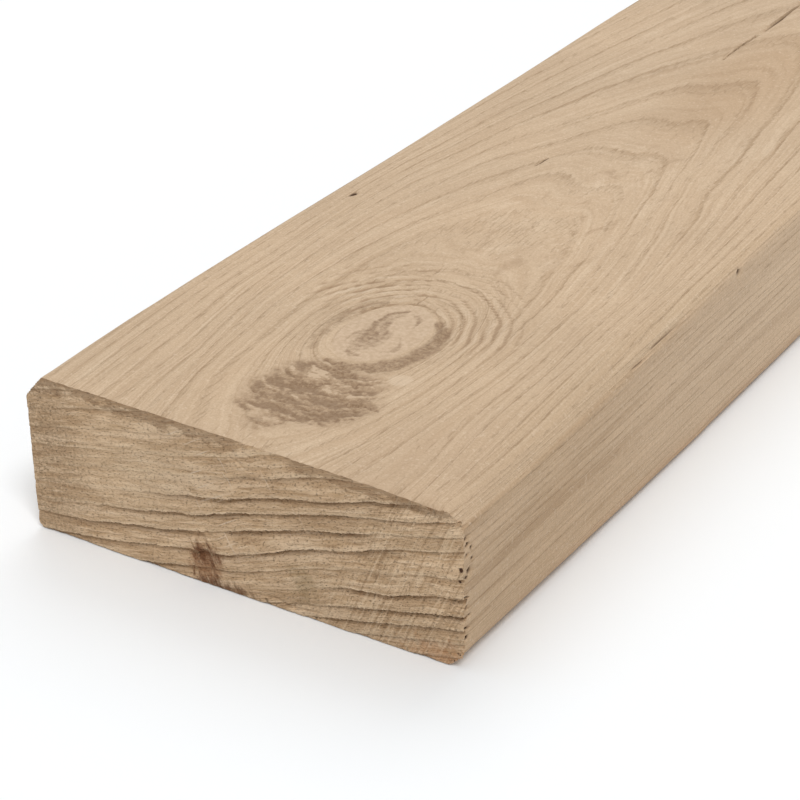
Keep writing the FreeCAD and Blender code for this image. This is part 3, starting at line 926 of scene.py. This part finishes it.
def end_grain_finish(mellow):
    """Torn end grain: steps along the rings, with painted shade under each lip and a painted highlight on it,
    fibres, pores, saw tracks, a streak of bark, and painted shade under the top edge.
    """
    material = bpy.data.materials.new("aged_oak_end_grain")
    material.use_nodes = True
    tree = material.node_tree
    on = Bench(tree)
    shader = tree.nodes["Principled BSDF"]
    place = on.place("ShaderNodeTexCoord").outputs["Object"]
    step, across, up = on.split(on.read("end_grain", "Vector"))
    painted_hollow_shade = on.read("painted_hollow_shade")

    stands = on.read("stands")
    phase = on.math("FRACT", step)
    vary = on.streaks((across, 26), (step, 0.9), 0.0, 3, 0.6)
    firm = on.times(on.ease(stands, 0.1, 1.0, 0.12, 1.0), on.ease(vary, 0.33, 0.6, 0.35, 1.0))
    # Painted shade under the lip of each step, a broader painted shade over the recess below it, and a
    # painted highlight on the lip.
    shade = on.times(on.ease(phase, 0.88, 0.985), firm)
    painted_recess_shade = on.times(on.times(on.ease(phase, 0.30, 0.97), on.ease(phase, 0.20, 0.97)), firm)
    lip = on.times(on.ease(phase, 0.02, 0.22, 1.0, 0.0), on.ease(vary, 0.35, 0.6, 0.3, 1.0))
    fibre = on.streaks((step, 4), (across, 60), 0.0, 5, 0.65)
    torn = on.streaks((step, 2.6), (across, 40), 5.0, 4, 0.65)
    grit = on.noise(place, 900, 4, 0.75)
    fine = on.streaks((step, 10), (across, 85), 2.0, 4, 0.6)
    broad = on.streaks((step, 1.5), (across, 17), 9.0, 3, 0.55)
    specks = on.streaks((step, 17), (across, 700), 0.0, 3, 0.6)
    speck = on.ease(specks, 0.58, 0.70)

    def scratches(turn, apart, seed):
        """Long thin saw scratches on the end, that many degrees from level and that far apart."""
        level, upright = math.cos(math.radians(turn)), math.sin(math.radians(turn))
        with_them = on.add(on.times(across, level), on.times(up, upright))
        over_them = on.add(on.times(across, -upright), on.times(up, level))
        return on.streaks((over_them, 1 / apart), (with_them, 0.045 / apart), seed, 2, 0.5)

    steep = scratches(66, 0.0011, 1.0)
    on_right = on.ease(on.add(across, on.times(up, -0.5)), 0.020, 0.050)
    crossing = on.math("MAXIMUM", scratches(30, 0.0012, 4.0), scratches(-56, 0.0013, 8.0))
    in_middle = on.ease(on.patch(place, (-14, LOW[1], 42), (52, 60, 36)), 0.4, 1.1, 1.0, 0.0)

    colour = on.mix(on.ease(fibre, 0.32, 0.70), srgb(204, 170, 132), srgb(237, 206, 170))

    front = LOW[1]
    pale = on.ease(on.patch(place, (-48, front, 36), (36, 60, 30)), 0.3, 1.1, 0.30, 0.0)
    dull = on.ease(on.patch(place, (-HALF_WIDTH, front, 30), (34, 60, 70)), 0.3, 1.1, 0.55, 0.0)
    ragged = on.streaks((across, 110), (up, 260), 0.0, 5, 0.75)
    under_edge = on.read("under_edge")
    # Painted shade in a ragged band just under the top edge of the front end, left out in one clear patch.
    painted_shade_under_top = on.ease(on.add(under_edge, on.times(on.add(ragged, -0.5), 0.026)), 0.0065, 0.0030)
    clear = on.ease(on.patch(place, (14, front, 62), (13, 60, 11)), 0.7, 1.2)
    smear = on.streaks((on.add(across, on.times(up, 0.5)), 330), (up, 120), 0.0, 4, 0.7)
    stray = on.times(on.add(smear, -0.5), 2.6)
    bark_reach = on.add(on.patch(place, (-16, front, 8), (9, 60, 11)), stray)
    crust = on.patch(place, (-9, front, 0), (17, 60, 5))
    crust = on.math("MINIMUM", crust, on.patch(place, (-16, front, 13), (7, 60, 5)))
    olive = on.ease(on.add(on.patch(place, (30, front, 14), (8, 60, 8)), stray), 0.3, 1.2, 0.38, 0.0)
    corner = on.ease(on.add(on.patch(place, (94, front, 2), (22, 60, 8)), stray), 0.3, 1.2, 0.40, 0.0)

    washes = (
        (on.times(on.ease(torn, 0.48, 0.72), 0.42), srgb(172, 137, 99)),
        (on.ease(fine, 0.50, 0.34, 0.0, 0.50), srgb(150, 114, 80)),
        (on.ease(fine, 0.54, 0.68, 0.0, 0.45), srgb(252, 226, 193)),
        (on.ease(broad, 0.52, 0.32, 0.0, 0.42), srgb(178, 144, 108)),
        (on.ease(broad, 0.52, 0.70, 0.0, 0.40), srgb(248, 221, 188)),
        # Painted shade under the step lips and painted highlights on the lips.
        (on.times(painted_recess_shade, 0.66), srgb(138, 102, 68)),
        (on.times(shade, 0.52), srgb(102, 66, 38)),
        (on.times(lip, 0.50), srgb(253, 226, 190)),
        (on.times(speck, 0.25), srgb(134, 101, 68)),
        (on.ease(grit, 0.35, 0.50, 0.20, 0.0), srgb(134, 101, 68)),
        (on.times(on.ease(grit, 0.58, 0.70), 0.20), srgb(244, 217, 182)),
        (on.times(on.ease(steep, 0.46, 0.36), on.times(on_right, 0.36)), srgb(146, 112, 78)),
        (on.times(on.ease(steep, 0.55, 0.66), on.times(on_right, 0.36)), srgb(246, 219, 184)),
        (on.times(on.ease(crossing, 0.64, 0.72), on.times(in_middle, 0.85)), srgb(230, 206, 178)),
        (on.times(pale, on.ease(grit, 0.35, 0.6, 0.4, 1.0)), srgb(240, 212, 176)),
        (on.times(dull, on.ease(grit, 0.38, 0.62, 1.0, 0.25)), srgb(146, 118, 89)),
        # Painted shade under the top edge.
        (on.times(on.times(painted_shade_under_top, 0.50), clear), srgb(130, 96, 64)),
        (on.ease(bark_reach, 0.25, 1.25, 0.66, 0.0), srgb(146, 95, 58)),
        (on.ease(on.add(crust, on.times(stray, 1.3)), 0.2, 1.3, 0.80, 0.0), srgb(98, 56, 28)),
        (olive, srgb(140, 117, 78)),
        (corner, srgb(186, 122, 72)),
        # Painted shade in the pits and tears.
        (on.ease(painted_hollow_shade, 0.12, 0.8), srgb(70, 42, 24)),
    )
    for share, wash in washes:
        colour = on.mix(share, colour, wash)
    on.feed(shader.inputs["Base Color"], on.mellowed(mellow, place, colour, 0.30))
    on.feed(shader.inputs["Roughness"], on.ease(fibre, 0.2, 0.8, 0.72, 0.86))
    shader.inputs["Specular IOR Level"].default_value = 0.22
    lift = on.add(on.times(fibre, 0.8), on.add(on.times(speck, -0.6), on.times(torn, -0.5)))
    lift = on.add(lift, on.add(on.times(grit, 0.3), on.times(fine, 0.7)))
    lift = on.add(lift, on.times(on.times(steep, on_right), 0.7))
    lift = on.add(lift, on.times(on.times(crossing, in_middle), 0.6))
    bump = on.place("ShaderNodeBump", {"Strength": 0.9, "Distance": 0.0011, "Height": lift})
    on.feed(shader.inputs["Normal"], bump.outputs[0])
    return material


# ------------------------------------------------------------------------------------- the studio

FLOOR_HALF = 8.0
FLOOR_LIT = (0.76, 0.78, 0.80, 1)  # the floor's colour as it lights the beam
FLOOR_SEEN = (0.965, 0.985, 1, 1)  # and as it is seen
SKY_LEVEL = 0.485
CAMERA_AIM = (41.0, 55.0)  # across, and along from the front end, on the top face
CAMERA_TURN, CAMERA_TILT, CAMERA_ROLL = math.radians(32.11), math.radians(27.50), math.radians(-1.51)
CAMERA_AWAY = 0.892
CAMERA_LENS = 107.6


def seen_directly(on):
    """1 for rays that show the floor or the sky itself: from the camera, a gloss or glass."""
    rays = on.place("ShaderNodeLightPath").outputs
    straight = on.math("MAXIMUM", rays["Is Camera Ray"], rays["Is Glossy Ray"])
    return on.math("MAXIMUM", straight, rays["Is Transmission Ray"])


def studio_sky():
    world = bpy.data.worlds.new("studio_sky")
    bpy.context.scene.world = world
    world.use_nodes = True
    on = Bench(world.node_tree)
    backdrop = world.node_tree.nodes["Background"]
    backdrop.inputs["Color"].default_value = (1, 1, 1, 1)
    on.feed(backdrop.inputs["Strength"], on.ease(seen_directly(on), 0.0, 1.0, SKY_LEVEL, 1.0))


def studio_floor():
    mesh = bpy.data.meshes.new("studio_floor")
    slab = bmesh.new()
    bmesh.ops.create_grid(slab, x_segments=1, y_segments=1, size=FLOOR_HALF)
    slab.to_mesh(mesh)
    slab.free()
    material = bpy.data.materials.new("studio_white")
    material.use_nodes = True
    on = Bench(material.node_tree)
    shader = material.node_tree.nodes["Principled BSDF"]
    on.feed(shader.inputs["Base Color"], on.mix(seen_directly(on), FLOOR_LIT, FLOOR_SEEN))
    shader.inputs["Roughness"].default_value = 1.0
    shader.inputs["Specular IOR Level"].default_value = 0.0
    mesh.materials.append(material)
    piece("studio_floor", mesh)


def studio_lamp(name, turn, height, strength, softness):
    """A far soft lamp. turn is its compass bearing from the beam, from +Y towards +X."""
    data = bpy.data.lights.new(name, "SUN")
    data.energy = strength
    data.angle = math.radians(softness)
    lamp = bpy.data.objects.new(name, data)
    bpy.context.scene.collection.objects.link(lamp)
    turn, height = math.radians(turn), math.radians(height)
    towards = Vector((math.sin(turn) * math.cos(height), math.cos(turn) * math.cos(height), math.sin(height)))
    lamp.rotation_euler = towards.to_track_quat("Z", "Y").to_euler()


def camera():
    data = bpy.data.cameras.new("camera")
    data.sensor_width = 36
    data.lens = CAMERA_LENS
    data.clip_start = 0.01
    view = bpy.data.objects.new("camera", data)
    bpy.context.scene.collection.objects.link(view)
    flat = math.cos(CAMERA_TILT)
    ahead = Vector((-math.sin(CAMERA_TURN) * flat, math.cos(CAMERA_TURN) * flat, -math.sin(CAMERA_TILT)))
    aside = Vector((math.cos(CAMERA_TURN), math.sin(CAMERA_TURN), 0))
    above = aside.cross(ahead)
    right = aside * math.cos(CAMERA_ROLL) + above * math.sin(CAMERA_ROLL)
    upward = above * math.cos(CAMERA_ROLL) - aside * math.sin(CAMERA_ROLL)
    turned = Matrix((right, upward, -ahead)).transposed()
    aim = Vector((CAMERA_AIM[0], LOW[1] + CAMERA_AIM[1], TOP)) * MM
    view.matrix_world = Matrix.Translation(aim - ahead * CAMERA_AWAY) @ turned.to_4x4()
    bpy.context.scene.camera = view


def main():
    bpy.context.scene.view_settings.view_transform = "Standard"
    mellow = mellowing()
    long_finish = long_grain_finish(mellow, open_grain())
    end_finish = end_grain_finish(mellow)
    beam = worn_beam(long_finish, end_finish)
    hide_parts(NODE)
    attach(beam, "root")
    studio_sky()
    studio_floor()
    studio_lamp("key_lamp", 130, 55, 1.24, 18)
    studio_lamp("top_lamp", -60, 78, 0.32, 60)
    studio_lamp("back_lamp", -21, 48, 0.56, 40)
    camera()


main()
